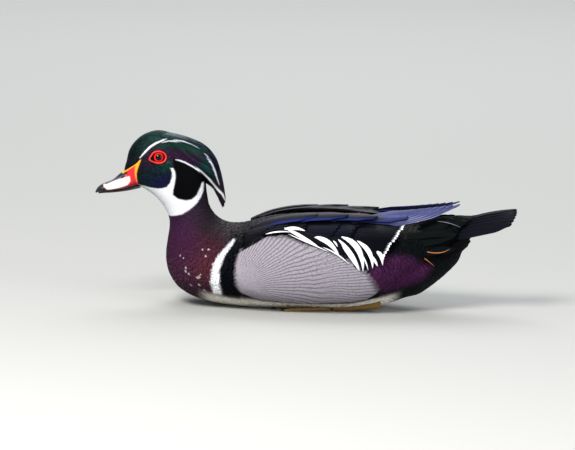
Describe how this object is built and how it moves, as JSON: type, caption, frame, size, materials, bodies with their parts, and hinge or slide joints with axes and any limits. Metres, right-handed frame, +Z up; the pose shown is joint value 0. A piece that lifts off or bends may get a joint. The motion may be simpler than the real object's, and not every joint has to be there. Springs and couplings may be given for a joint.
{
  "type": "wood duck",
  "caption": "Life-size drake wood duck afloat in its pose, resting on its belly, with long drooping crest, folded wings and raised tail.",
  "frame": {"origin": "centre of the bounding box's bottom face, on the floor that the belly rests on", "axes": "+Z up; the bill points towards -X and the tail towards +X; the duck's left side faces -Y"},
  "size_m": [0.4237, 0.145, 0.1726],
  "materials": {
    "bill": "satin horn, red, white and black with a yellow border",
    "bill_dark": "satin black horn",
    "body_feathers": "maroon breast, white belly and bronze back feathers",
    "breast_feathers": "maroon feathers",
    "crest_feathers": "glossy green feathers with white lines",
    "eye": "clear wet surface over a red iris and black pupil",
    "eye_ring": "bare red skin",
    "flank_feathers": "fine barred buff feathers edged with white and black plumes",
    "foot_skin": "scaled dull yellow skin with dusky webs",
    "head_feathers": "glossy green and purple feathers with white lines",
    "rump_feathers": "black feathers with a maroon patch",
    "tail_feathers": "satin black feathers",
    "wing_feathers": "glossy black and blue feathers with white tips"
  },
  "bodies": {
    "root": {"bill_lower": "bill_dark", "bill_upper": "bill", "crest": "crest_feathers", "eye_left": "eye", "eye_right": "eye", "flank_left": "flank_feathers", "flank_right": "flank_feathers", "foot_left": "foot_skin", "foot_right": "foot_skin", "head": "head_feathers", "leg_left": "foot_skin", "leg_right": "foot_skin", "lid_left": "eye_ring", "lid_right": "eye_ring", "neck": "breast_feathers", "rump": "rump_feathers", "tail": "tail_feathers", "torso": "body_feathers", "undertail": "rump_feathers", "wing_left": "wing_feathers", "wing_right": "wing_feathers"}
  },
  "joints": []
}
